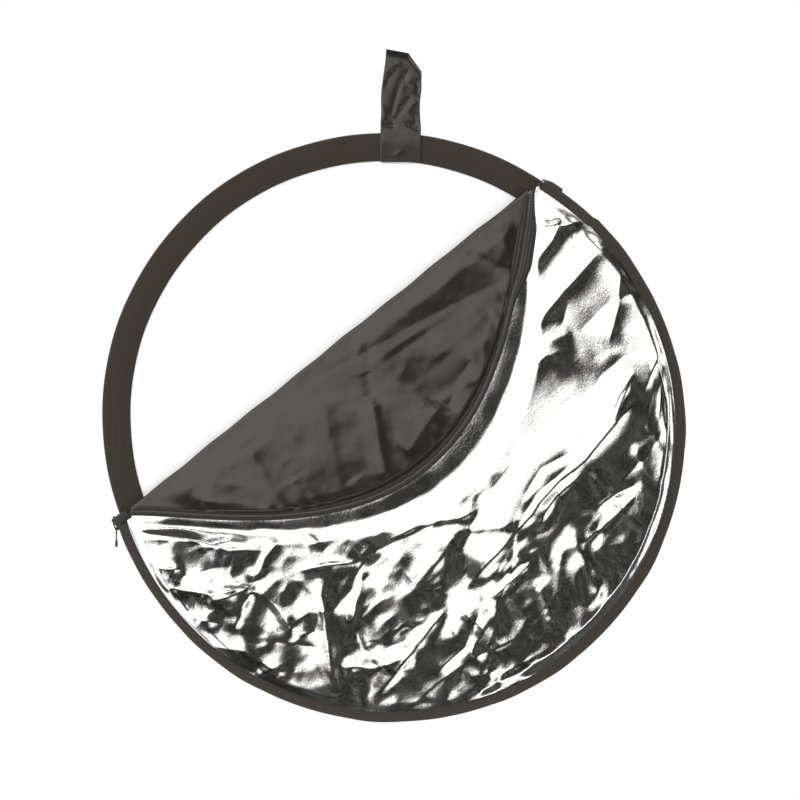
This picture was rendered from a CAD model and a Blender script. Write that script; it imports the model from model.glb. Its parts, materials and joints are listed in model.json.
"""Looks of the collapsible reflector: cloth, bands, webbing, zips, light and camera, round the CAD frame."""
import json
import math
from collections import namedtuple

import bpy
import numpy as np
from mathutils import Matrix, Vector


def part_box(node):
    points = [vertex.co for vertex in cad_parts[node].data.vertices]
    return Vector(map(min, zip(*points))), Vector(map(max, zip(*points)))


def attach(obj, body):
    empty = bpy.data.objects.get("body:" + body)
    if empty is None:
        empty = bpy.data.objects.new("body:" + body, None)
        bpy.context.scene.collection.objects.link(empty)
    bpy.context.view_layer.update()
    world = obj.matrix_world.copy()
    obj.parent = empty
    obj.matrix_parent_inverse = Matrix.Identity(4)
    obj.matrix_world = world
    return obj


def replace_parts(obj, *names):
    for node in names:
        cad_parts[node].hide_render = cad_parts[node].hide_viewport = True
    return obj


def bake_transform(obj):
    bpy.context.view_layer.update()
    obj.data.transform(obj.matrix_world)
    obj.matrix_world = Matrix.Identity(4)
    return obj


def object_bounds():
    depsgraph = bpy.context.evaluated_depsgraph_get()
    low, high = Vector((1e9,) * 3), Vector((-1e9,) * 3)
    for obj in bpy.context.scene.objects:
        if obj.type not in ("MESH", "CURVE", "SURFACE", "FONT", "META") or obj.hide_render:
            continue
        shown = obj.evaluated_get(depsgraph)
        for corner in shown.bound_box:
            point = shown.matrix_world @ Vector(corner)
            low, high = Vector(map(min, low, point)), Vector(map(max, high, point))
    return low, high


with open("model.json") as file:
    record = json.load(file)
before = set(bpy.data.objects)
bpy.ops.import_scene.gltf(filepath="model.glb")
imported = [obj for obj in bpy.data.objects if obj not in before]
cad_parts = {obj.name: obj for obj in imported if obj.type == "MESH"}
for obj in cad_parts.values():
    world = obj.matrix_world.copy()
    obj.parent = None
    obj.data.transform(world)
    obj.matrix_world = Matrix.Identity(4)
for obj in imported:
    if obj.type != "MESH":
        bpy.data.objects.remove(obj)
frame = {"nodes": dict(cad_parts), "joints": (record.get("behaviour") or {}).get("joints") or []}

CAD_LOW, CAD_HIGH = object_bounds()
MM = 0.001
SIDES = ((-1, "front"), (1, "back"))

# ---------------------------------------------------------------- places, from the frame
JOINTS = {joint["name"]: joint for joint in frame["joints"]}
HUB = np.array(JOINTS["sleeve_turn"]["pos_m"])
ALONG = -np.array(JOINTS["front_flap_fold"]["axis"])
SQUARE = np.array([-ALONG[2], 0.0, ALONG[0]])
FOLD_AT = np.array(JOINTS["front_flap_fold"]["pos_m"])
FOLD_HEIGHT = float((FOLD_AT - HUB) @ SQUARE)
BAND_LOW, BAND_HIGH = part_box("hoop_band")
HOOP_R = (BAND_HIGH.x - BAND_LOW.x) / 2 / math.cos(math.radians(2.5))
BAND_W = 28 * MM
FACE_DEPTH = -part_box("front_panel_silver")[0].y
LINING_DEPTH = -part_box("front_panel_lining")[0].y
BINDING_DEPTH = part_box("sleeve_binding")[1].y
FLAP_LINING_DEPTH = -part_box("front_flap_lining")[0].y
FLAP_FACE_DEPTH = -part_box("front_flap_silver")[1].y

# The sleeve has dropped off the hoop's centre; these are in the sleeve's own frame. The areas are
# square metres of flat cloth. FLAP_GATHERED is how much longer the cloth is than FLAP_REACH.
SLEEVE_AT = np.array([-1.9, -16.8]) * MM
SLEEVE_R = 288.7 * MM
BINDING_W = 10.4 * MM
MOUTH = FOLD_HEIGHT - 1.5 * MM
FLAP_HALF = 262 * MM
FLAP_REACH = 152 * MM
FLAP_GATHERED = 34 * MM
FLAP_FULLNESS = 1.2
FLAP_INSET = 7.4 * MM
ZIP_TAPE_W = 10 * MM
PANEL_AREA = 0.2135
FLAP_AREA = 0.0535
ZIP_FAN = 7 * MM
OUTER_FAN = 1.6
TEETH_FAN = 0.7
DIFFUSER_R = 258 * MM


def place(x, z, depth, side=-1):
    """A point of the sleeve's own frame in the row frame. side is -1 in front and 1 behind."""
    x, z, depth = np.broadcast_arrays(x, z, depth)
    points = HUB + x[..., None] * ALONG + z[..., None] * SQUARE
    points[..., 1] += side * depth
    return points


def front_view(x, z):
    """A point of the sleeve's frame as seen from the front: right and up from the hoop's centre."""
    return x * ALONG[0] + z * SQUARE[0], x * ALONG[2] + z * SQUARE[2]


def smooth(low, high, value):
    t = np.clip((value - low) / (high - low), 0, 1)
    return t * t * (3 - 2 * t)


# ---------------------------------------------------------------- materials
class Nodes:
    """A node tree being filled in."""

    def __init__(self, tree):
        self.tree = tree

    def add(self, kind, inputs=None, **settings):
        """Adds a node. inputs are values or other nodes' sockets, settings are its properties."""
        node = self.tree.nodes.new(kind)
        for name, value in settings.items():
            setattr(node, name, value)
        for name, value in (inputs or {}).items():
            if isinstance(value, bpy.types.NodeSocket):
                self.tree.links.new(value, node.inputs[name])
            else:
                node.inputs[name].default_value = value
        return node

    def math(self, operation, a, b=0.0, c=0.0):
        return self.add("ShaderNodeMath", {0: a, 1: b, 2: c}, operation=operation).outputs[0]


class Shader(Nodes):
    """The nodes of one material."""

    def __init__(self, name, color, roughness, **sockets):
        self.material = bpy.data.materials.new(name)
        self.material.use_nodes = True
        super().__init__(self.material.node_tree)
        self.surface = self.tree.nodes["Principled BSDF"]
        self.surface.inputs["Base Color"].default_value = (*color, 1)
        self.surface.inputs["Roughness"].default_value = roughness
        for socket, value in sockets.items():
            self.surface.inputs[socket.replace("_", " ")].default_value = value
        self.color = color

    def uv(self):
        return self.add("ShaderNodeUVMap", uv_map="Cloth").outputs["UV"]

    def place(self):
        return self.add("ShaderNodeTexCoord").outputs["Object"]

    def noise(self, where, scale, detail=3.0, rough=0.55):
        node = self.add("ShaderNodeTexNoise", {"Vector": where, "Scale": scale, "Detail": detail,
                                               "Roughness": rough})
        return node.outputs["Fac"]

    def ribs(self, where, period, across=0):
        """A sine along one UV axis, from 0 to 1."""
        parts = self.add("ShaderNodeSeparateXYZ", {0: where})
        turn = self.math("MULTIPLY", parts.outputs[across], 2 * math.pi / period)
        return self.math("MULTIPLY_ADD", self.math("SINE", turn), 0.5, 0.5)

    def weave(self, where, warp, weft):
        """Over and under threads: two crossed sines multiplied."""
        return self.math("MULTIPLY", self.ribs(where, warp, 0), self.ribs(where, weft, 1))

    def vary(self, fac, spread, tint=(1.0, 1.0, 1.0)):
        """Varies the base colour about its own value as fac goes from 0 to 1."""
        low = [part * (1 - spread) for part in self.color]
        high = [min(1.0, part * (1 + spread) * share) for part, share in zip(self.color, tint)]
        mix = self.add("ShaderNodeMix", {0: fac, 6: (*low, 1), 7: (*high, 1)}, data_type="RGBA")
        self.tree.links.new(mix.outputs[2], self.surface.inputs["Base Color"])

    def rough(self, fac, low, high):
        span = self.add("ShaderNodeMapRange", {0: fac, 3: low, 4: high})
        self.tree.links.new(span.outputs[0], self.surface.inputs["Roughness"])

    def bump(self, *layers):
        """Each layer is (height socket, depth in metres)."""
        normal = None
        for height, depth in layers:
            inputs = {"Height": height, "Strength": 1.0, "Distance": depth}
            if normal is not None:
                inputs["Normal"] = normal
            normal = self.add("ShaderNodeBump", inputs).outputs[0]
        self.tree.links.new(normal, self.surface.inputs["Normal"])
        return self.material


def metallised(name, color, fleck):
    """Crinkled metallised cloth: mirror facets with a fine woven grain. fleck is its contrast."""
    s = Shader(name, color, 0.16, Metallic=1.0)
    at = s.place()
    speckle = s.add("ShaderNodeMapRange", {0: s.noise(at, 950, 2, 0.6), 1: 0.38, 2: 0.62})
    s.vary(speckle.outputs[0], fleck, (1.0, 0.99, 0.96))
    s.rough(s.noise(at, 35, 3), 0.07, 0.13)
    grain = s.noise(at, 780, 2, 0.6)
    ripple = s.noise(at, 110, 3, 0.5)
    pebble = s.noise(at, 260, 2, 0.6)
    return s.bump((ripple, 0.05 * MM), (pebble, 0.045 * MM), (grain, 0.065 * MM))


def satin(name, color, roughness, gloss, pitch, relief):
    """Plain-woven nylon with a soft satin gloss. pitch and relief are those of its threads."""
    s = Shader(name, color, roughness, Sheen_Weight=0.02, Sheen_Roughness=0.4,
               Specular_IOR_Level=gloss, Specular_Tint=(1.0, 0.96, 0.89, 1.0))
    at = s.place()
    s.vary(s.noise(at, 25, 4), 0.14)
    s.rough(s.noise(at, 50, 3), roughness - 0.05, roughness + 0.08)
    slack = s.noise(at, 15, 3, 0.5)
    dimples = s.noise(at, 70, 3)
    threads = s.weave(s.uv(), pitch, pitch)
    return s.bump((slack, 2.2 * MM), (dimples, 0.10 * MM), (threads, relief))


def tape(name, color, roughness, pitch, relief):
    """Dense woven tape: crossed ribs, with worn and dusty patches."""
    s = Shader(name, color, roughness, Sheen_Weight=0.15, Sheen_Roughness=0.5)
    at, where = s.place(), s.uv()
    thread = s.weave(where, pitch, pitch * 0.7)
    patches = s.noise(at, 40, 5)
    s.vary(patches, 0.18, (1.05, 1.02, 0.98))
    s.rough(patches, roughness - 0.08, min(1.0, roughness + 0.08))
    return s.bump((thread, relief), (s.noise(at, 700, 2), 0.05 * MM))


def white_cloth(name, color):
    """Fine plain-woven white cloth, hardly soiled."""
    s = Shader(name, color, 0.7, Sheen_Weight=0.1)
    at = s.place()
    s.vary(s.noise(at, 12, 3), 0.015)
    return s.bump((s.noise(at, 60, 4), 0.12 * MM), (s.weave(s.uv(), 0.7 * MM, 0.7 * MM), 0.02 * MM))


def metal(name, color, roughness, worn):
    """Painted or bare metal, scuffed lighter where it is handled."""
    s = Shader(name, color, roughness, Metallic=0.9)
    at = s.place()
    s.vary(s.noise(at, 400, 5), worn)
    s.rough(s.noise(at, 900, 3), roughness - 0.1, roughness + 0.15)
    return s.bump((s.noise(at, 1800, 3), 0.04 * MM))


SILVER = metallised("silver_cloth", (0.90, 0.87, 0.82), 0.32)
GOLD = metallised("gold_cloth", (0.66, 0.41, 0.12), 0.18)
BLACK = satin("black_lining", (0.017, 0.016, 0.0135), 0.16, 0.68, 0.8 * MM, 0.02 * MM)
WHITE = white_cloth("white_lining", (0.85, 0.85, 0.83))
DIFFUSER = white_cloth("diffuser_cloth", (0.95, 0.95, 0.95))
BAND = tape("band_tape", (0.030, 0.024, 0.018), 0.92, 1.3 * MM, 0.10 * MM)
BINDING = tape("binding_tape", (0.034, 0.029, 0.024), 0.8, 1.6 * MM, 0.16 * MM)
WEBBING = satin("webbing", (0.013, 0.0125, 0.012), 0.28, 0.72, 1.5 * MM, 0.03 * MM)
ZIP_TAPE = tape("zip_tape", (0.013, 0.012, 0.010), 0.46, 1.2 * MM, 0.05 * MM)
PIPING = white_cloth("piping", (0.62, 0.62, 0.70))
THREAD = tape("thread", (0.014, 0.013, 0.012), 0.6, 0.5 * MM, 0.05 * MM)
COIL = tape("zip_coil", (0.17, 0.16, 0.145), 0.34, 0.9 * MM, 0.02 * MM)
STEEL = metal("spring_steel", (0.52, 0.53, 0.55), 0.35, 0.15)
PAINTED = metal("painted_metal", (0.060, 0.058, 0.055), 0.42, 0.35)

# word is the cloth's part in piece and node names.
Cloth = namedtuple("Cloth", "word material slot")
SILVER_CLOTH = Cloth("silver", SILVER, "silver_cloth")
GOLD_CLOTH = Cloth("gold", GOLD, "gold_cloth")
BLACK_CLOTH = Cloth("lining", BLACK, "black_cloth")
WHITE_CLOTH = Cloth("lining", WHITE, "white_cloth")


# ---------------------------------------------------------------- meshes
def make_object(name, mesh, material):
    obj = bpy.data.objects.new(name, mesh)
    bpy.context.scene.collection.objects.link(obj)
    mesh.materials.append(material)
    mesh.polygons.foreach_set("use_smooth", [True] * len(mesh.polygons))
    return obj


def surface(name, points, material, cloth=None, closed_u=False, closed_v=False):
    """A grid of quads through points[v, u]. cloth holds each point's flat place, in metres."""
    rows, columns = points.shape[:2]
    index = np.arange(rows * columns).reshape(rows, columns)
    if closed_v:
        index = np.vstack([index, index[:1]])
    if closed_u:
        index = np.hstack([index, index[:, :1]])
    quads = np.stack([index[:-1, :-1], index[:-1, 1:], index[1:, 1:], index[1:, :-1]], -1)
    quads = quads.reshape(-1, 4)
    mesh = bpy.data.meshes.new(name)
    mesh.from_pydata(points.reshape(-1, 3).tolist(), [], quads.tolist())
    if cloth is None:
        along = np.cumsum(np.linalg.norm(np.diff(points, axis=1, prepend=points[:, :1]), axis=2), 1)
        across = np.cumsum(np.linalg.norm(np.diff(points, axis=0, prepend=points[:1]), axis=2), 0)
        cloth = np.stack([along, across], -1)
    flat = cloth.reshape(-1, 2)[np.array([loop.vertex_index for loop in mesh.loops])]
    mesh.uv_layers.new(name="Cloth").data.foreach_set("uv", flat.ravel())
    return make_object(name, mesh, material)


def faced(obj, side):
    """Turns the faces so that they look to the front (-1) or the back (1)."""
    mesh = obj.data
    total = sum(p.normal.y * p.area for p in mesh.polygons)
    if total * side < 0:
        mesh.flip_normals()
    return obj


def capped(points):
    """Closes a tube's two ends with one point each, as more columns of points[v, u]."""
    first = np.repeat(points[:, :1].mean(0, keepdims=True), len(points), 0)
    last = np.repeat(points[:, -1:].mean(0, keepdims=True), len(points), 0)
    return np.concatenate([first, points, last], 1)


def ring_section(profile, angles, radius_shift=0.0, centre=(0.0, 0.0)):
    """Points[v, u] of a section of (radius, y) swept over angles, seen from the front."""
    r = np.array([p[0] for p in profile])[:, None] + radius_shift
    y = np.array([p[1] for p in profile])[:, None] + 0 * angles[None]
    x = centre[0] + r * np.cos(angles)[None]
    z = centre[1] + r * np.sin(angles)[None]
    return np.stack([x + HUB[0], y + HUB[1], z + HUB[2]], -1)


def rounded(profile, passes=2):
    """Corner cutting on a closed profile, so that its edges are soft."""
    points = np.array(profile, float)
    for _ in range(passes):
        after = np.roll(points, -1, 0)
        points = np.stack([0.75 * points + 0.25 * after, 0.25 * points + 0.75 * after], 1)
        points = points.reshape(-1, 2)
    return points


def beads(name, centres, along, outward, half_length, radius, material, sides=6):
    """Many small rounded capsules in one mesh, for stitches and zip teeth."""
    across = np.cross(outward, along)
    across /= np.linalg.norm(across, axis=1)[:, None]
    up = np.cross(along, across)
    stations = [(-1.0, 0.35), (-0.72, 0.9), (0.0, 1.0), (0.72, 0.9), (1.0, 0.35)]
    turns = np.linspace(0, 2 * math.pi, sides, endpoint=False)
    rings = []
    for station, share in stations:
        middle = centres + along * (station * half_length)
        spoke = across[:, None] * np.cos(turns)[None, :, None]
        spoke = spoke + up[:, None] * np.sin(turns)[None, :, None]
        rings.append(middle[:, None] + spoke * radius * share)
    points = np.stack(rings, 1)
    count = len(centres)
    per = len(stations) * sides
    base = np.arange(count)[:, None] * per
    faces = []
    for level in range(len(stations) - 1):
        for side in range(sides):
            a, b = level * sides + side, level * sides + (side + 1) % sides
            faces.append(base + np.array([a, b, b + sides, a + sides]))
    quads = np.concatenate(faces).tolist()
    ends = [list(range(sides))[::-1], [per - sides + k for k in range(sides)]]
    caps = [[start * per + k for k in end] for start in range(count) for end in ends]
    mesh = bpy.data.meshes.new(name)
    mesh.from_pydata(points.reshape(-1, 3).tolist(), [], quads + caps)
    mesh.uv_layers.new(name="Cloth")
    return make_object(name, mesh, material)


def spaced(points, pitch, margin=0.0):
    """Places along a polyline every pitch, with the direction there."""
    steps = np.linalg.norm(np.diff(points, axis=0), axis=1)
    run = np.concatenate([[0], np.cumsum(steps)])
    at = np.arange(margin, run[-1] - margin, pitch)
    where = np.stack([np.interp(at, run, points[:, k]) for k in range(3)], 1)
    ahead = np.stack([np.interp(at + 0.4 * pitch, run, points[:, k]) for k in range(3)], 1)
    behind = np.stack([np.interp(at - 0.4 * pitch, run, points[:, k]) for k in range(3)], 1)
    along = ahead - behind
    return where, along / np.linalg.norm(along, axis=1)[:, None]


def stitches(name, points, outward, body, pitch=3.2 * MM):
    """A row of lock stitches half sunk in the cloth."""
    where, along = spaced(points, pitch, pitch)
    out = np.broadcast_to(outward, where.shape)
    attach(beads(name, where, along, out, 0.36 * pitch, 0.28 * MM, THREAD), body)


def thicken(obj, thickness):
    """Gives a single surface the thickness of its cloth, half to each side."""
    solid = obj.modifiers.new("thickness", "SOLIDIFY")
    solid.thickness = thickness
    solid.offset = 0


# ---------------------------------------------------------------- relief of cloth
def crease(x, z, points, left, right, height, sharp=0.5, fade=0.22):
    """A ridge along a polyline, or a valley if height is negative. All in millimetres.

    left and right say how far it falls off to either side, looking along the line."""
    points = np.array(points, float) * MM
    steps = np.diff(points, axis=0)
    lengths = np.hypot(*steps.T)
    run = np.concatenate([[0], np.cumsum(lengths)])
    parts = []
    for start, step, length, before in zip(points, steps, lengths, run):
        dx, dz = x - start[0], z - start[1]
        t = np.clip((dx * step[0] + dz * step[1]) / length ** 2, 0, 1)
        far = np.hypot(dx - t * step[0], dz - t * step[1])
        side = step[0] * dz - step[1] * dx
        share = (before + t * length) / run[-1]
        window = smooth(0, fade, share) * (1 - smooth(1 - fade, 1, share))
        parts.append((far, window, np.where(side > 0, left, right) * MM))
    best = np.minimum.reduce([part[0] for part in parts])
    # Where two stretches are equally near, they share the say, so that nothing jumps.
    says = [np.exp(-(far - best) / (4 * MM)) for far, _, _ in parts]
    total = sum(says)
    window = sum(say * part[1] for say, part in zip(says, parts)) / total
    width = sum(say * part[2] for say, part in zip(says, parts)) / total
    sharp = sharp * MM
    return height * MM * window * np.exp(-(np.sqrt(best ** 2 + sharp ** 2) - sharp) / width)


def wander(x, z, cell, rng):
    """Smooth gradient noise from about -1 to 1, one swell to a cell, in millimetres."""
    u, v = x / (cell * MM) + 500, z / (cell * MM) + 500
    column, row = np.floor(u).astype(int), np.floor(v).astype(int)
    f, g = u - column, v - row
    turns = rng.uniform(0, 2 * math.pi, (64, 64))
    ease_f, ease_g = f * f * f * (f * (6 * f - 15) + 10), g * g * g * (g * (6 * g - 15) + 10)
    total = np.zeros_like(u)
    for di, share_f in ((0, 1 - ease_f), (1, ease_f)):
        for dj, share_g in ((0, 1 - ease_g), (1, ease_g)):
            turn = turns[(column + di) % 64, (row + dj) % 64]
            total += share_f * share_g * (np.cos(turn) * (f - di) + np.sin(turn) * (g - dj))
    return 1.5 * total


def crumple(x, z, rng, cells, slope, soft=0.12):
    """Crushed cloth: crests that wander and cross, from coarse cells to fine ones."""
    total = np.zeros_like(x)
    for cell in cells:
        shift = 0.45 * cell * MM
        warped_x = x + shift * wander(x, z, 1.7 * cell, rng)
        warped_z = z + shift * wander(x, z, 1.7 * cell, rng)
        swell = wander(warped_x, warped_z, cell, rng)
        strength = 0.55 + 0.9 * np.clip(wander(x, z, 2.6 * cell, rng), -0.5, 1)
        total += slope * cell * MM * strength * (0.45 - np.sqrt(swell ** 2 + soft ** 2))
    return total


def facets(x, z, rng, cell, slope):
    """Flat triangles meeting in crisp folds, their net bent out of square. cell is in mm."""
    u = x / (cell * MM) + 500 + 0.55 * wander(x, z, 2.1 * cell, rng)
    v = z / (cell * MM) + 500 + 0.55 * wander(x, z, 2.1 * cell, rng)
    column, row = np.floor(u).astype(int), np.floor(v).astype(int)
    f, g = u - column, v - row
    heights = rng.uniform(-1, 1, (64, 64))

    def corner(i, j):
        return heights[(column + i) % 64, (row + j) % 64]

    near = corner(0, 0) + f * (corner(1, 0) - corner(0, 0)) + g * (corner(0, 1) - corner(0, 0))
    far = (corner(1, 1) + (1 - f) * (corner(0, 1) - corner(1, 1)) +
           (1 - g) * (corner(1, 0) - corner(1, 1)))
    return slope * cell * MM * np.where(f + g < 1, near, far)


def crinkles(x, z, rng, count, area, length, width, slope, lean=None):
    """Many short ridges and valleys strewn over area = (low x, high x, low z, high z), in mm."""
    total = np.zeros_like(x)
    for _ in range(count):
        at = np.array([rng.uniform(area[0], area[1]), rng.uniform(area[2], area[3])])
        angle = rng.uniform(0, math.pi) if lean is None else rng.normal(*lean)
        half = rng.uniform(*length) / 2 * np.array([math.cos(angle), math.sin(angle)])
        bend = np.array([-half[1], half[0]]) * rng.normal(0, 0.25)
        across = rng.uniform(*width)
        other = across * rng.uniform(0.4, 1.0)
        height = rng.normal(0, slope) * across
        total += crease(x, z, (at - half, at + bend, at + half), across, other, height)
    return total


# ---------------------------------------------------------------- disc
FULL = np.linspace(0, 2 * math.pi, 360, endpoint=False)


def make_band():
    """The tape folded round the strip: soft rim, thin sewn inner edge, slightly uneven."""
    inner = HOOP_R - BAND_W
    outside = [(inner, 1.05), (inner + 6 * MM, 1.9), (inner + 12 * MM, 2.6), (inner + 16 * MM, 3.15),
               (HOOP_R - 6 * MM, 3.2), (HOOP_R - 2.4 * MM, 3.1), (HOOP_R - 0.7 * MM, 2.1),
               (HOOP_R, 0.7)]
    front = [(r, -y * MM) for r, y in outside]
    back = [(r, y * MM) for r, y in reversed(outside)]
    inside = [(inner, 0.6 * MM), (inner + 5 * MM, 0.5 * MM), (inner + 5 * MM, -0.5 * MM),
              (inner, -0.6 * MM)]
    profile = rounded(front + back + inside, 1)
    wobble = 0.18 * MM * (np.sin(9 * FULL + 1) + np.sin(23 * FULL) * 0.5)
    band = surface("hoop_band_cloth", ring_section(profile, FULL, wobble[None]), BAND,
                   closed_u=True, closed_v=True)
    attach(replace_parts(band, "hoop_band"), "disc")
    seam_r = inner + 7.5 * MM
    for side, name in SIDES:
        line = ring_section([(seam_r, side * 2.05 * MM)], np.append(FULL, FULL[0]))[0]
        stitches(f"band_stitching_{name}", line, (0, side, 0), "disc")


def make_diffuser():
    """The translucent cloth, drum tight, with faint puckers where it meets the band."""
    radii = np.concatenate([np.linspace(0.5 * MM, 0.2, 40), np.linspace(0.204, DIFFUSER_R, 28)])
    puckers = np.sin(46 * FULL + 2 * np.sin(5 * FULL)) + 0.6 * np.sin(71 * FULL)
    grow = smooth(0.215, 0.25, radii) * (1 - smooth(0.2495, 0.2525, radii))
    y = 0.22 * MM * grow[:, None] * puckers[None]
    x = radii[:, None] * np.cos(FULL)
    z = radii[:, None] * np.sin(FULL)
    points = np.stack([x + HUB[0], y + HUB[1], z + HUB[2]], -1)
    cloth = surface("diffuser_cloth", points, DIFFUSER, closed_u=True,
                    cloth=np.stack([x, z], -1))
    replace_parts(cloth, "diffuser_panel")
    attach(faced(cloth, -1), "disc")


STRAP_CREASES = (
    # polyline seen from the front, in millimetres from the strap's middle and the hoop's centre;
    # left, right, height
    (((9.7, 345), (-1, 326), (-10, 294)), 1.6, 2.6, -1.5),
    (((11, 316), (4, 306), (-7, 291)), 1.4, 2.2, -1.2),
    (((4, 333), (-4, 312), (-8, 300)), 2.6, 1.2, 0.8),
    (((13, 334), (17, 325), (16, 314)), 4.0, 3.0, -1.5),
    (((-16, 338), (-8, 346), (2, 350)), 3.0, 2.4, 0.7),
    (((-17, 320), (-11, 334), (-3, 344)), 3.0, 4.0, -0.7),
    (((-18, 288), (-12, 286), (-5, 287)), 2.4, 1.0, -1.3),
    (((5, 288), (11, 286), (19, 281)), 2.4, 1.0, -1.5),
    (((6, 300), (12, 308), (17, 312)), 2.5, 2.0, 0.6),
    (((-7, 257), (-2, 260), (2, 262)), 2.0, 1.6, 0.35),
    (((-18, 310), (-16, 300), (-17, 290)), 2.0, 2.0, 0.5),
    (((12, 300), (15, 293), (14, 286)), 2.0, 2.0, -0.5),
)
# How far each leg stands from the hoop's plane, in millimetres, at heights over the hoop's centre.
STRAP_LEG = ((0.270, 4.05), (0.277, 4.1), (0.283, 3.9), (0.292, 3.6), (0.305, 4.0))
STRAP_BEND = 4.4 * MM
STRAP_RISE = 3.5 * MM


def strap_leg():
    """Heights of the webbing's leg from its foot to its bend, and its distance out at each."""
    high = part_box("strap_loop")[1]
    heights = [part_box("strap_anchor")[0].z] + [HUB[2] + up for up, _ in STRAP_LEG]
    depths = [1.95 * MM] + [out * MM for _, out in STRAP_LEG]
    return np.array(heights + [high.z - STRAP_BEND]), np.array(depths + [high.y - 0.35 * MM])


def strap_relief(x, up):
    """Creases of the hanging loop. The bend at its top is smooth."""
    total = sum(crease(x, up, line, left, other, 1.35 * height, 0.5)
                for line, left, other, height in STRAP_CREASES)
    total = total + 0.12 * MM * np.sin(x / (2.6 * MM) + up / (5 * MM)) * smooth(0.285, 0.30, up)
    return 0.9 * total * (1 - smooth(0.352, 0.36, up))


def make_strap():
    """One webbing strip: up from the band, round the peg and down behind, sewn to both faces."""
    low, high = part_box("strap_loop")
    heights, depths = strap_leg()
    foot, depth = heights[0], depths[-1]
    rise = np.linspace(foot, heights[-1], 90)
    out = np.convolve(np.pad(np.interp(rise, heights, depths), 3, "edge"), np.full(7, 1 / 7), "valid")
    turn = np.linspace(0, math.pi, 15)[1:-1]
    z = np.concatenate([rise, heights[-1] + depth * np.sin(turn), rise[::-1]])
    y = np.concatenate([-out, -depth * np.cos(turn), out[::-1]])
    share = np.clip((z - foot) / (high.z - foot), 0, 1)
    half = (high.x - low.x) / 2
    loop = smooth(HUB[2] + 0.288, HUB[2] + 0.300, z)
    left = -half + 5.5 * MM * smooth(0.55, 1.0, share) + 1.2 * MM * loop * (1 - share)
    right = half + 1.6 * MM * smooth(0.5, 0.8, share) - 1.0 * MM * smooth(0.3, 0.45, share)
    x = left[:, None] + (right - left)[:, None] * np.linspace(0, 1, 41)[None]
    # The top is folded over askew: it falls off to the right, and steeply past the corner.
    fall = np.maximum(0, x - 7.5 * MM) * 1.22 + np.maximum(0, x + 14 * MM) * 0.18
    z = z[:, None] - fall * smooth(0.45, 1.0, share)[:, None]
    z = z + STRAP_RISE * smooth(0.3, 1.0, share)[:, None]
    relief = np.sign(y)[:, None] * strap_relief(x, z - HUB[2])
    pinch = 0.2 + 0.8 * smooth(0, 9 * MM, high.z + STRAP_RISE - fall - z)
    points = np.stack([x, y[:, None] * pinch + relief, z], -1)
    strap = surface("webbing_strap", points, WEBBING)
    thicken(strap, 0.7 * MM)
    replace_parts(strap, "strap_loop", "strap_anchor")
    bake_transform(strap)
    for side, name in SIDES:
        sew_strap(side, name, half)


def sew_strap(side, name, half):
    """Two rows of stitches across one leg, and a row of bar tacks at its foot."""
    heights, depths = strap_leg()
    for row, level in enumerate((HUB[2] + 0.2555, HUB[2] + 0.2775)):
        out = side * (np.interp(level, heights, depths) + 0.38 * MM)
        line = np.array([[x, out, level] for x in np.linspace(2 * MM - half, half - 2 * MM, 12)])
        stitches(f"strap_stitching_{name}_{row + 1}", line, (0, side, 0), "disc")
    level = heights[0] + 3 * MM
    out = side * (np.interp(level, heights, depths) + 0.4 * MM)
    where = np.array([[x, out, level] for x in np.arange(2 * MM - half, half - 1.5 * MM, 2.2 * MM)])
    upward = np.tile([0.0, 0.0, 1.0], (len(where), 1))
    outward = np.tile([0.0, float(side), 0.0], (len(where), 1))
    tacks = beads(f"strap_bar_tack_{name}", where, upward, outward, 1.7 * MM, 0.3 * MM, THREAD)
    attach(tacks, "disc")


# ---------------------------------------------------------------- sleeve
def panel_grid(columns, rows, inset=0.9 * MM):
    """A segment of the sleeve's circle under the mouth, as x and z in the sleeve's frame."""
    r = SLEEVE_R - inset
    t = -np.cos(np.linspace(0.004, math.pi - 0.004, columns))
    half = r * np.sqrt(1 - t * t)
    x = SLEEVE_AT[0] + r * t
    low = SLEEVE_AT[1] - half
    high = np.minimum(MOUTH, SLEEVE_AT[1] + half)
    share = np.linspace(0, 1, rows)[:, None]
    return np.broadcast_to(x, (rows, columns)), low + (high - low) * share


def rim_fade(x, z, width):
    """1 inside the sleeve, falling to 0 at the binding."""
    from_rim = SLEEVE_R - np.hypot(x - SLEEVE_AT[0], z - SLEEVE_AT[1])
    return smooth(8 * MM, 8 * MM + width, from_rim)


def flap_depth(share, inset):
    """How far down the folded flap reaches at share of its half length, less inset."""
    return (FLAP_REACH - inset) * np.maximum(0, 1 - share ** 2) ** FLAP_FULLNESS


def below_edge(x, z):
    """How far a point lies beyond the folded flap's zip edge. Negative under the flap."""
    share = np.clip((x - SLEEVE_AT[0]) / FLAP_HALF, -1, 1)
    return (MOUTH - flap_depth(share, 0)) - z


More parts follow.
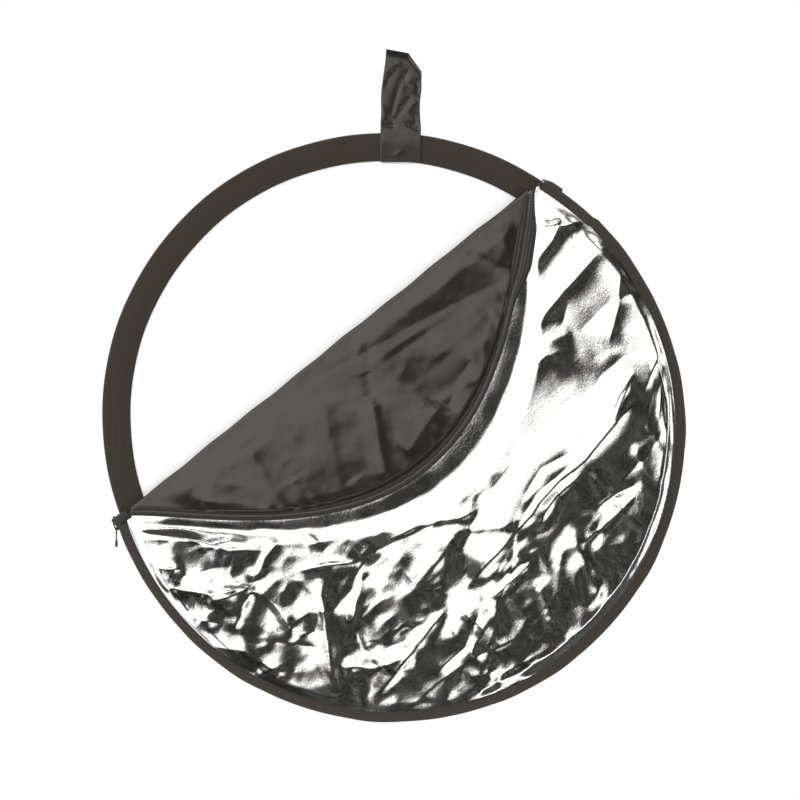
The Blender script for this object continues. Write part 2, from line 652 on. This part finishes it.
FRONT_CREASES = (
    # polyline seen from the front, in millimetres from the hoop's centre; left, right, height
    (((262, 34), (197, -44), (173, -62), (135, -107), (80, -170), (61, -186)), 17, 60, 4.2),
    (((250, 10), (270, 60), (258, 124), (228, 176), (196, 200)), 60, 12, 4.6),
    (((222, 174), (159, 101), (134, 57), (116, 40)), 9, 40, 1.5),
    (((206, 195), (172, 186), (165, 172), (148, 151), (138, 132)), 10, 16, 1.9),
    (((190, 66), (154, 56), (114, 20), (100, -14)), 20, 18, 2.2),
    (((244, -25), (255, -50), (280, -72)), 9, 6, 1.2),
    (((198, -44), (220, -77), (257, -107), (272, -120)), 9, 7, 1.8),
    (((135, -107), (80, -113), (55, -117)), 5, 8, 1.0),
    (((4, -123), (30, -110), (49, -105), (78, -100), (96, -90)), 8, 4, 1.0),
    (((2, -132), (30, -161), (64, -184)), 8, 20, 2.2),
    (((66, -182), (88, -203), (112, -223), (158, -254)), 18, 8, 2.0),
    (((177, -106), (190, -125), (203, -157), (218, -190)), 6, 14, 1.9),
    (((204, -122), (240, -154), (250, -162)), 6, 6, 1.3),
    (((103, -182), (146, -143)), 5, 5, 1.4),
    (((66, -182), (30, -230), (-12, -284)), 9, 26, 2.4),
    (((-64, -150), (-58, -210), (-48, -276)), 14, 9, 2.0),
    (((-21, -146), (-27, -180), (-34, -214)), 8, 6, 1.5),
    (((-128, -165), (-105, -190), (-84, -222)), 12, 7, 1.8),
    (((-262, -108), (-236, -116), (-196, -120), (-160, -132), (-112, -134)), 7, 12, 2.0),
    (((-252, -132), (-222, -150), (-196, -152)), 6, 14, 1.8),
    (((-250, -150), (-214, -170), (-170, -176), (-132, -168)), 10, 16, 2.4),
    (((-226, -186), (-196, -198), (-160, -206)), 8, 14, 2.0),
    (((-186, -226), (-140, -232), (-92, -260)), 14, 8, 2.2),
    (((-128, -165), (-150, -178), (-180, -184)), 9, 9, 1.4),
    (((-128, -165), (-140, -190), (-150, -216)), 8, 12, 1.3),
    (((-128, -165), (-118, -140), (-104, -122)), 6, 9, 1.3),
    (((-90, -154), (-56, -147), (-20, -145)), 4, 7, 1.4),
    (((150, -158), (164, -200), (190, -226)), 10, 6, 1.5),
    (((60, -200), (100, -250), (118, -278)), 8, 12, 1.6),
    (((-30, -232), (10, -250), (60, -286)), 12, 8, 1.5),
    (((150, 189), (164, 189), (176, 192)), 3, 3, 0.9),
    (((274, 84), (281, 30), (282, -38)), 4, 5, 1.3),
    (((283, 60), (290, 0), (286, -50)), 3, 4, 0.9),
    (((247, 44), (230, 20), (222, 0)), 5, 5, 0.9),
    (((243, 34), (232, 12), (226, -6)), 4, 4, 0.8),
)


# Broad swells of the same cloth: place from the hoop's centre, width and height.
SWELLS = ((266, -62, 98, 6.4), (-190, -125, 62, 4.4), (-60, -190, 45, 1.2), (150, -215, 55, 3.6),
          (236, -182, 52, 2.8))


def front_relief(x, z):
    """The silver cloth's relief: swells, the photo's creases, and finer crushing where it is low."""
    rng = np.random.default_rng(5)
    right, up = front_view(x, z)
    total = 1.0 * MM * (1 - smooth(0.16, 0.285, np.hypot(right, up + 0.02)))
    for x0, z0, wide, high in SWELLS:
        away = ((right - x0 * MM) ** 2 + (up - z0 * MM) ** 2) / (2 * (wide * MM) ** 2)
        total += high * MM * np.exp(-away)
    for line, left, other, height in FRONT_CREASES:
        total += crease(right, up, line, left, other, 1.3 * height, 0.06 * min(left, other))
    total += crinkles(right, up, rng, 40, (-200, 230, -300, -110), (30, 90), (5, 14), 0.07)
    total += crinkles(right, up, rng, 34, (-20, 240, -290, -60), (50, 140), (3, 8), 0.10, (0.75, 0.35))
    total += crinkles(right, up, rng, 30, (-240, 0, -280, -110), (40, 110), (3, 8), 0.10, (2.5, 0.5))
    low = smooth(0.02, -0.11, up + 0.16 * right)
    total += crumple(right, up, rng, (74, 36), 0.055, 0.05) * (0.25 + 0.75 * low)
    total += facets(right, up, rng, 52, 0.035) * low
    total += crumple(right, up, rng, (17,), 0.036, 0.06) * (0.1 + 0.9 * low)
    total += crinkles(right, up, rng, 14, (170, 270, -60, 120), (40, 110), (8, 20), 0.035, (0.9, 0.3))
    total += crinkles(right, up, rng, 20, (148, 205, 165, 232), (8, 24), (1.6, 3.5), 0.07)
    total += crinkles(right, up, rng, 12, (250, 290, -60, 90), (40, 90), (2, 5), 0.14, (1.6, 0.12))
    return total


def back_relief(x, z):
    """The gold cloth's relief, which no photo shows: crushed all over in the same way."""
    rng = np.random.default_rng(8)
    right, up = front_view(x, z)
    total = crinkles(right, up, rng, 26, (-230, 260, -290, 60), (80, 220), (6, 14), 0.14)
    total += crumple(right, up, rng, (80, 38), 0.055, 0.06)
    total += facets(right, up, rng, 48, 0.05) + facets(right, up, rng, 22, 0.045)
    return total + 1.2 * MM * (1 - smooth(0.12, 0.285, np.hypot(right, up + 0.02)))


def lay_cloth(name, grid, depth, side, cloth, node, body, faces=None, **sheet):
    """A cloth of the sleeve at depth on one side, in place of a CAD node and riding on its body.
"""
    x, z = grid
    obj = surface(name, place(x, z, depth, side), cloth.material, np.stack([x, z], -1))
    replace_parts(obj, node)
    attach(faced(obj, faces or side), body)


def panel_depth(x, z, relief):
    """How far the metal face stands out: its relief, low and held up where the flap covers it."""
    beyond = below_edge(x, z)
    corner = smooth(150 * MM, 215 * MM, x)
    starts = smooth(-150 * MM, 60 * MM, x) * (1 - corner)
    lift = relief(x, z) * rim_fade(x, z, 12 * MM)
    lift = lift * smooth((9 + 7 * starts - 7 * corner) * MM, (30 + 18 * starts - 8 * corner) * MM, beyond)
    lift = np.where(lift > 0, lift, 0.35 * MM * np.tanh(lift / (0.35 * MM)))
    held_up = (FLAP_FACE_DEPTH - FACE_DEPTH - 0.7 * MM) * (1 - smooth(196 * MM, 220 * MM, x))
    covered = held_up * smooth(0, 30 * MM, MOUTH - z) * rim_fade(x, z, 16 * MM)
    covered = covered * (0.8 + 0.2 * wander(x, z, 42, np.random.default_rng(3)))
    ragged = 1 + 0.22 * np.sin(x / (21 * MM) + 1.3 * np.sin(x / (13 * MM))) + 0.12 * np.sin(x / (5 * MM))
    slides = (15 + 29 * starts) * MM * ragged
    return FACE_DEPTH + np.maximum(covered * (1 - smooth(-1 * MM, slides, beyond)), 0) + lift


def make_panel(name, side, relief, metal, lining):
    """One side of the sleeve: its metal face and its lining. metal and lining are Cloths."""
    held = {"flat": (2 * SLEEVE_R, MOUTH - SLEEVE_AT[1] + SLEEVE_R), "held": "stretched",
            "rests_on": ["sleeve_binding_tape"], "area": PANEL_AREA}
    columns, rows = ((320, 290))
    x, z = panel_grid(columns, rows)
    lay_cloth(f"{name}_{metal.word}_cloth", (x, z), panel_depth(x, z, relief), side, metal,
              f"{name}_panel_{metal.word}", "sleeve", **held)
    x, z = panel_grid(110, 100)
    depth = LINING_DEPTH - 0.2 * MM - 0.15 * MM * np.sin(x * 60) * np.sin(z * 45 + 1)
    lay_cloth(f"{name}_lining_cloth", (x, z), depth, side, lining, f"{name}_panel_lining", "sleeve",
              faces=-side, **held)


def mouth_angles():
    """Where the sleeve's circle meets the mouth, as front-view angles: right end, then left end."""
    lean = math.atan2(ALONG[2], ALONG[0])
    rise = math.asin((MOUTH - SLEEVE_AT[1]) / SLEEVE_R)
    return lean + rise, lean + math.pi - rise


def make_binding():
    """The tape round the rim: front and back turnings joined over the edge, slightly wavy."""
    right, left = mouth_angles()
    angles = np.linspace(left, right + 2 * math.pi, 420)
    centre = front_view(*SLEEVE_AT)
    outer = BINDING_DEPTH
    profile = [(SLEEVE_R, 0.0), (SLEEVE_R, 0.72 * outer), (SLEEVE_R - 1.6 * MM, outer),
               (SLEEVE_R - 6 * MM, outer + 0.1 * MM), (SLEEVE_R - BINDING_W, outer - 0.1 * MM),
               (SLEEVE_R - BINDING_W, outer - 0.55 * MM), (SLEEVE_R - 0.7 * MM, outer - 0.6 * MM)]
    profile = rounded([(r, -y) for r, y in profile[::-1]] + profile[1:], 1)
    ends = smooth(0, 0.12, angles - angles[0]) * (1 - smooth(-0.12, 0, angles - angles[-1]))
    wave = 0.55 * MM * (np.sin(11 * angles + 0.6) + 0.6 * np.sin(27 * angles + 2)) * ends
    lap = math.radians(406.5) - angles
    wave = wave + 2.4 * MM * smooth(0, 0.008, lap) * np.exp(-np.maximum(lap, 0) / 0.06)
    points = ring_section(profile, angles, np.maximum(wave, -0.1 * MM)[None], centre)
    binding = surface("sleeve_binding_tape", capped(points), BINDING, closed_v=True)
    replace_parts(binding, "sleeve_binding")
    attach(binding, "sleeve")
    for side, name in SIDES:
        line = ring_section([(SLEEVE_R - 8.4 * MM, side * (outer + 0.05 * MM))], angles[6:-6],
                            wave[None, 6:-6], centre)[0]
        stitches(f"binding_stitching_{name}", line, (0, side, 0), "sleeve")
    make_inner_fold(angles[(angles > left + 0.02) & (angles < left + 0.56)])


def make_inner_fold(angles):
    """A sliver of white lining that shows inside the binding at the lower left."""
    centre = front_view(*SLEEVE_AT)
    width = 2.2 * MM * np.sin(np.linspace(0.25, math.pi, len(angles))) ** 0.7
    r = np.stack([np.full(len(angles), SLEEVE_R - BINDING_W + 0.4 * MM), SLEEVE_R - BINDING_W - width])
    x = centre[0] + r * np.cos(angles) + HUB[0]
    z = centre[1] + r * np.sin(angles) + HUB[2]
    y = np.full_like(x, -(BINDING_DEPTH - 0.12 * MM))
    edge = surface("binding_inner_fold", np.stack([x, y, z], -1), PIPING)
    thicken(edge, 0.3 * MM)
    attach(edge, "sleeve")


def make_end_tab():
    """The zip's sewn-in end: a tape folded over the right corner, proud of the binding."""
    right = mouth_angles()[0]
    centre = front_view(*SLEEVE_AT)
    angles = np.linspace(right + 0.006, right - 0.072, 40)
    share = np.linspace(0, 1, 40)
    swell = (0.1 + 0.9 * smooth(0, 0.45, share)) * (1 - 0.5 * smooth(0.9, 1, share))
    profile = np.array([(2.6, 0), (2.8, 1.4), (2.2, 3.6), (0.8, 5.3), (-3, 5.9), (-8.4, 6.0)])
    profile = [(r * MM, y * MM) for r, y in profile]
    full = rounded([(SLEEVE_R + r, -y) for r, y in profile[:0:-1]] +
                   [(SLEEVE_R + r, y) for r, y in profile], 1)
    points = ring_section(full, angles, 0.0, centre)
    low = ring_section(full - [[2.2 * MM, 0]], angles, 0.0, centre)
    points = low + (points - low) * swell[None, :, None]
    tab = surface("zip_end_tab_cloth", points, BINDING)
    thicken(tab, 0.5 * MM)
    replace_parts(tab, "zip_end_tab")
    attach(tab, "sleeve")


def make_zip_tail(side, name):
    """The loose end of the zip tape, from the flap's left tip over the rim into the slider."""
    route = np.array([(-258, 9.7), (-262, 9.6), (-266, 9.2), (-270, 8.3), (-273.4, 6.6), (-275.4, 4.0),
                      (-276, 1.2), (-276, 0.3)]) * MM
    run = np.linspace(0, len(route) - 1, 40)
    x = np.interp(run, range(len(route)), route[:, 0])
    depth = np.interp(run, range(len(route)), route[:, 1])
    across = np.linspace(-1, 1, 13)[:, None]
    half = 4.6 * MM - 1.4 * MM * smooth(20, 39, np.arange(40))[None]
    z = FOLD_HEIGHT - 1.4 * MM + across * half - 0.10 * (x + 0.262)[None]
    depth = depth[None] - 0.5 * MM * across ** 2 + 0.12 * MM * np.sin(x / (1.3 * MM))[None]
    tail = surface(f"{name}_zip_tail_cloth", place(x[None] + 0 * z, z, depth, side), ZIP_TAPE)
    thicken(tail, 0.6 * MM)
    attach(tail, "sleeve")


# ---------------------------------------------------------------- flaps
def flap_columns(count, inset):
    """Places along the fold, as shares of its half length from -1 to 1 and as x."""
    half = FLAP_HALF - 1.5 * inset
    share = -np.cos(np.linspace(0.01, math.pi - 0.01, count))
    return share, SLEEVE_AT[0] + half * share


def flap_grid(columns, rows, inset):
    """A folded flap's x and z, from the fold down to inset short of its zip edge."""
    share, x = flap_columns(columns, inset)
    down = flap_depth(share, inset)
    t = np.linspace(0, 1, rows)[:, None]
    return np.broadcast_to(x, (rows, columns)), MOUTH - down * t


FLAP_FOLDS = (
    # polyline seen from the front, in millimetres from the hoop's centre; left, right, height
    (((138, 144), (85, 118), (35, 93), (-19, 63), (-74, 35), (-129, -5), (-190, -44)), 34, 20, -2.8),
    (((12, 70), (30, 43), (50, 10)), 36, 12, -2.0),
    (((-13, 18), (-5, -24), (2, -64)), 4.5, 9, 2.6),
    (((-19, 43), (-16, 30), (-13, 18)), 5, 4, -1.0),
    (((56, 12), (40, -12), (20, -40)), 9, 20, 2.6),
    (((-136, -29), (-116, -64), (-94, -99)), 9, 26, 2.2),
    (((80, 164), (110, 147), (136, 144)), 5, 9, -1.9),
    (((-62, 22), (-52, -30), (-40, -84)), 16, 30, 1.5),
    (((112, 112), (98, 70), (96, 26)), 16, 34, 1.3),
    (((-183, -84), (-146, -86), (-109, -94)), 5, 8, 1.2),
    (((-176, -64), (-140, -70), (-104, -92)), 6, 10, 1.0),
    (((86, 56), (70, 30), (62, 4)), 6, 12, -1.1),
    (((-30, -60), (-16, -78), (-10, -96)), 5, 8, 1.2),
    (((-92, -60), (-78, -84), (-74, -104)), 6, 9, 1.2),
)


def flap_relief(x, z, seed):
    """Soft folds of the lining, held flat at the fold and gathered along the zip."""
    rng = np.random.default_rng(seed)
    right, up = front_view(x, z)
    total = np.zeros_like(x)
    for line, left, other, height in FLAP_FOLDS:
        total += crease(right, up, line, left, other, height, 0.7, 0.12)
    total += crinkles(right, up, rng, 18, (-200, 140, -110, 150), (30, 90), (6, 16), 0.05)
    total += crumple(right, up, rng, (80, 30), 0.03, 0.12) + facets(right, up, rng, 44, 0.018)
    edge = -below_edge(x, z)
    run = x / MM
    pucker = np.sin(run / 3.4 + 1.9 * np.sin(run / 19)) + 0.6 * np.sin(run / 2.1 + 2)
    strength = 0.35 + 0.65 * smooth(-0.2, 0.7, np.sin(run / 23 + 0.4))
    total += 0.55 * MM * pucker * strength * (1 - smooth(12 * MM, 34 * MM, edge))
    return total


def closed_fade(x, z):
    """Where the raised flap would lie on the band, its relief has to stay low."""
    up = 2 * FOLD_HEIGHT - z
    return 1 - 0.85 * smooth(0.225, 0.243, np.hypot(x, up))


def make_flap(name, side, metal, lining, seed):
    """A folded flap: its lining, which is seen, its metal face under that, and the fold's two rolls."""
    under = f"{name}_{metal.word}_cloth"
    held = {"flat": (2 * FLAP_HALF, FLAP_REACH + FLAP_GATHERED), "held": "folded",
            "rests_on": [under], "area": FLAP_AREA}
    columns, rows = ((300, 130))
    x, z = flap_grid(columns, rows, FLAP_INSET)
    hold = smooth(0, 20 * MM, MOUTH - z) * closed_fade(x, z)
    tucked = smooth(8.5 * MM, 15 * MM, -below_edge(x, z))
    lift = 2.8 * MM + 3.0 * MM * np.tanh(flap_relief(x, z, seed) / (3.0 * MM))
    depth = FLAP_LINING_DEPTH + lift * hold * tucked
    lay_cloth(f"{name}_flap_lining_cloth", (x, z), depth, side, lining, f"{name}_flap_lining",
              f"{name}_flap", **held)
    x, z = flap_grid(140, 60, FLAP_INSET)
    depth = FLAP_FACE_DEPTH + flap_face_relief(x, z, seed + 40)
    lay_cloth(f"{name}_flap_{metal.word}_cloth", (x, z), depth, side, metal,
              f"{name}_flap_{metal.word}", f"{name}_flap", faces=-side, **held)
    make_fold(name, side, "lining", LINING_DEPTH - 0.2 * MM, FLAP_LINING_DEPTH, 3.6 * MM, lining)
    make_fold(name, side, metal.word, FACE_DEPTH, FLAP_FACE_DEPTH, 2.4 * MM, metal)


def flap_face_relief(x, z, seed):
    """Crinkles of the flap's metal face, never more than 0.6 mm, so that it stays off the lining."""
    rng = np.random.default_rng(seed)
    right, up = front_view(x, z)
    folds = crinkles(right, up, rng, 50, (-200, 150, -120, 150), (30, 110), (3, 9), 0.12)
    folds += facets(right, up, rng, 38, 0.05)
    return 0.6 * MM * np.tanh(np.abs(folds) / (0.6 * MM))


def make_fold(name, side, layer, low, high, rise, cloth):
    """The roll of one cloth layer over the mouth, from the panel at low to the flap at high."""
    turn = np.linspace(0, math.pi, 17)[:, None]
    x = flap_columns(260, FLAP_INSET)[1]
    bulge = 1 + 0.10 * np.sin(x / (9 * MM)) + 0.08 * np.sin(x / (23 * MM) + 1)
    depth = (low + high) / 2 - (high - low) / 2 * np.cos(turn) + 0 * x
    z = MOUTH + rise * np.sin(turn) * bulge
    roll = surface(f"{name}_fold_{layer}_cloth", place(np.broadcast_to(x, depth.shape), z, depth, side),
                   cloth.material)
    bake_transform(roll)


def edge_line(inset, count, trim):
    """The folded flap's zip edge, inset from its very end, as x and z. trim is off each end."""
    half = FLAP_HALF - 1.5 * inset
    share = -np.cos(np.linspace(trim, math.pi - trim, count))
    return SLEEVE_AT[0] + half * share, MOUTH - flap_depth(share, inset)


def spread(x):
    """How far the zip's two tapes fan out past the flap's edge, near the zip's sewn-in end."""
    return ZIP_FAN * smooth(165 * MM, 205 * MM, x) * (1 - smooth(228 * MM, 256 * MM, x))


def make_zip(name, side):
    """The zip tape along the flap's edge: a rolled cord outside, a flatter welt inside."""
    body = f"{name}_flap"
    low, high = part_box(f"{name}_zip_tape")
    middle = abs(low.y + high.y) / 2
    t = np.linspace(0, 1, 37)[:, None]
    lines = [edge_line(1.0 * MM + share * ZIP_TAPE_W, 620, 0.02) for share in t[:, 0]]
    x = np.array([line[0] for line in lines])
    z = np.array([line[1] for line in lines])
    z = z - spread(x) * (1 - t) * OUTER_FAN
    cord = 1.5 * MM * np.sin(math.pi * np.clip(t / 0.40, 0, 1)) ** 0.6
    inner = 0.9 * MM * np.sin(math.pi * np.clip((t - 0.50) / 0.50, 0, 1)) ** 0.6
    gather = np.sin(x / (2.4 * MM) + 2.2 * np.sin(x / (29 * MM))) + 0.5 * np.sin(x / (1.7 * MM))
    ripple = 0.30 * MM * gather * smooth(0.5, 0.8, t)
    ribs = 0.6 * MM * np.sin(5 * math.pi * t) ** 2 * spread(x) / ZIP_FAN
    depth = middle + 0.15 * MM + cord + inner + ripple + ribs
    strip = surface(f"{name}_zip_tape_cloth", place(x, z, depth, side), ZIP_TAPE)
    thicken(strip, 0.6 * MM)
    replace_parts(strip, f"{name}_zip_tape")
    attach(strip, body)
    make_teeth(name, side, middle + 0.85 * MM)
    for row, inset, rise, fan in ((1, 1.5 * MM, 0.9 * MM, OUTER_FAN), (2, 10.4 * MM, 0.6 * MM, 0)):
        x, z = edge_line(inset, 420, 0.05)
        line = place(x, z - fan * spread(x), middle + rise, side)
        stitches(f"{name}_zip_stitching_{row}", line, (0, side, 0), body, 2.6 * MM)


def make_teeth(name, side, depth):
    """The zip's coil: one small bead to a turn, lying across the tape and slightly askew."""
    x, z = edge_line(5.3 * MM, 600, 0.04)
    line = place(x, z - TEETH_FAN * spread(x), depth, side)
    where, along = spaced(line, 2.4 * MM, 2 * MM)
    out = np.tile([0.0, float(side), 0.0], (len(where), 1))
    askew = np.cross(out, along) + 0.2 * along
    teeth = beads(f"{name}_zip_teeth", where, askew, out, 1.1 * MM, 0.55 * MM, COIL)
    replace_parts(teeth, f"{name}_zip_coil")
    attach(teeth, f"{name}_flap")


# ---------------------------------------------------------------- assembly
make_band()
make_diffuser()
make_strap()
make_panel("front", -1, front_relief, SILVER_CLOTH, BLACK_CLOTH)
make_panel("back", 1, back_relief, GOLD_CLOTH, WHITE_CLOTH)
make_binding()
make_end_tab()
for side, name in SIDES:
    make_zip_tail(side, name)
make_flap("front", -1, SILVER_CLOTH, BLACK_CLOTH, 21)
make_flap("back", 1, GOLD_CLOTH, WHITE_CLOTH, 22)
make_zip("front", -1)
make_zip("back", 1)

for node in ("hoop_spring", "hoop_splice_plate", "splice_rivet_left", "splice_rivet_right"):
    frame["nodes"][node].data.materials[0] = STEEL
for node in ("zip_slider", "zip_pull", "zip_bottom_stop", "front_zip_top_stop", "back_zip_top_stop"):
    frame["nodes"][node].data.materials[0] = PAINTED


# ---------------------------------------------------------------- stage, light and camera
def make_floor():
    """A round pale floor well under the hanging disc."""
    level = CAD_LOW.z - 0.35
    angles = np.linspace(0, 2 * math.pi, 96, endpoint=False)
    radii = np.array([0.001, 0.5, 1.0, 1.1])[:, None]
    points = np.stack([radii * np.cos(angles) + HUB[0], radii * np.sin(angles),
                       np.full((4, 96), level)], -1)
    s = Shader("floor", (0.86, 0.86, 0.86), 0.9)
    s.vary(s.noise(s.place(), 6, 2), 0.01)
    floor = surface("floor", points, s.bump((s.noise(s.place(), 90, 2), 0.1 * MM)),
                    closed_u=True)
    floor.visible_glossy = False


# What the foil mirrors, by tilt: how far a mirrored ray goes to the lower right, from -1 to 1, as pairs
# of tilt and brightness. White to the upper left, then the dark round the camera, a strip lamp and the
# dark room.
LEAN = math.radians(-41)
DARK = 0.0094
MIRRORED = ((-1.0, 1.0), (-0.040, 1.0), (0.050, DARK), (0.40, DARK), (0.46, 0.95), (0.56, 0.95),
            (0.64, 0.02), (1.0, 0.045))
# Places across and up, half width, half height, and how much of the light is left there.
DARK_SPOTS = (
    (-0.42, -0.34, 0.16, 0.20, 0.05),
    (0.16, 0.52, 0.34, 0.10, 0.08),
    (0.0, 1.0, 1.2, 0.30, 0.03),
)
GLARE = 1.6


def mirrored_studio(nodes, way, across, up, tilt):
    """Brightness of what glossy surfaces mirror: MIRRORED less DARK_SPOTS, with some dim shapes."""
    stops = nodes.add("ShaderNodeValToRGB", {0: nodes.math("MULTIPLY_ADD", tilt, 0.5, 0.5)})
    ramp = stops.color_ramp
    ramp.interpolation = "EASE"
    while len(ramp.elements) < len(MIRRORED):
        ramp.elements.new(0.5)
    for element, (at, level) in zip(ramp.elements, MIRRORED):
        element.position = (at + 1) / 2
        element.color = (level, level, level, 1)
    glow = stops.outputs[0]
    for x, z, wide, high, dim in DARK_SPOTS:
        off_x = nodes.math("MULTIPLY_ADD", across, 1 / wide, -x / wide)
        off_z = nodes.math("MULTIPLY_ADD", up, 1 / high, -z / high)
        off = nodes.math("MULTIPLY_ADD", off_x, off_x, nodes.math("MULTIPLY", off_z, off_z))
        spot = nodes.add("ShaderNodeMapRange", {0: off, 1: 0.62, 2: 1.3, 3: dim, 4: 1.0},
                         interpolation_type="SMOOTHSTEP")
        glow = nodes.math("MULTIPLY", glow, spot.outputs[0])
    clutter = nodes.add("ShaderNodeTexNoise", {"Vector": way, "Scale": 11.0, "Detail": 3.0}).outputs[0]
    dim_shapes = nodes.add("ShaderNodeMapRange", {0: clutter, 1: 0.51, 2: 0.70, 3: 0.0, 4: 0.15})
    return nodes.math("MULTIPLY_ADD", glow, GLARE, dim_shapes.outputs[0])


def make_world():
    """White to the camera, nearly even light on cloth, and a lit and a dark side in reflections."""
    world = bpy.data.worlds.new("studio")
    bpy.context.scene.world = world
    world.use_nodes = True
    world.node_tree.nodes.clear()
    nodes = Nodes(world.node_tree)
    way = nodes.add("ShaderNodeTexCoord").outputs["Generated"]
    parts = nodes.add("ShaderNodeSeparateXYZ", {0: way}).outputs
    # Mirrored about the disc's plane, so that the back is lit from its own upper left.
    across = nodes.math("MULTIPLY", parts[0], nodes.math("MULTIPLY", nodes.math("SIGN", parts[1]), -1.0))
    up = parts[2]
    tilt = nodes.math("MULTIPLY_ADD", across, math.cos(LEAN), nodes.math("MULTIPLY", up, math.sin(LEAN)))
    glossy = mirrored_studio(nodes, way, across, up, tilt)
    path = nodes.add("ShaderNodeLightPath").outputs
    slant = nodes.math("MULTIPLY", nodes.math("MULTIPLY", path["Is Diffuse Ray"], tilt), -0.5)
    even = nodes.math("ADD", nodes.math("MULTIPLY_ADD", path["Is Diffuse Ray"], -0.12, 1.0), slant)
    light = nodes.add("ShaderNodeMix", {0: path["Is Glossy Ray"], 2: even, 3: glossy}).outputs[0]
    background = nodes.add("ShaderNodeBackground", {"Strength": light})
    background.inputs["Color"].default_value = (1.0, 1.0, 1.0, 1.0)
    output = nodes.add("ShaderNodeOutputWorld")
    world.node_tree.links.new(background.outputs[0], output.inputs["Surface"])
    world.cycles.sampling_method = "NONE"


def make_lamp(name, at, aim):
    """A soft square lamp, seen by neither the camera nor reflections."""
    data = bpy.data.lights.new(name, "AREA")
    data.shape = "SQUARE"
    data.size = 1.6
    data.energy = 22
    lamp = bpy.data.objects.new(name, data)
    bpy.context.scene.collection.objects.link(lamp)
    lamp.location = at
    lamp.rotation_euler = (Vector(aim) - Vector(at)).to_track_quat("-Z", "Y").to_euler()
    lamp.visible_camera = False
    lamp.visible_glossy = False


def make_camera():
    """Level, straight in front, with the whole disc and its loop in a square picture."""
    picture_width = 793 * MM
    data = bpy.data.cameras.new("camera")
    data.lens = 85.0
    data.sensor_width = 36.0
    camera = bpy.data.objects.new("camera", data)
    bpy.context.scene.collection.objects.link(camera)
    target = Vector((HUB[0] + 15.3 * MM, 0, HUB[2] + 15.4 * MM))
    camera.location = target + Vector((0, -picture_width * data.lens / data.sensor_width, 0))
    camera.rotation_euler = (math.pi / 2, 0, 0)
    bpy.context.scene.camera = camera


bpy.context.scene.view_settings.view_transform = "Standard"
make_floor()
make_world()
make_camera()
middle = Vector(HUB.tolist())
make_lamp("key", middle + Vector((-1.2, -2.4, 1.2)), middle)
make_lamp("fill", middle + Vector((1.4, 2.4, 1.0)), middle)
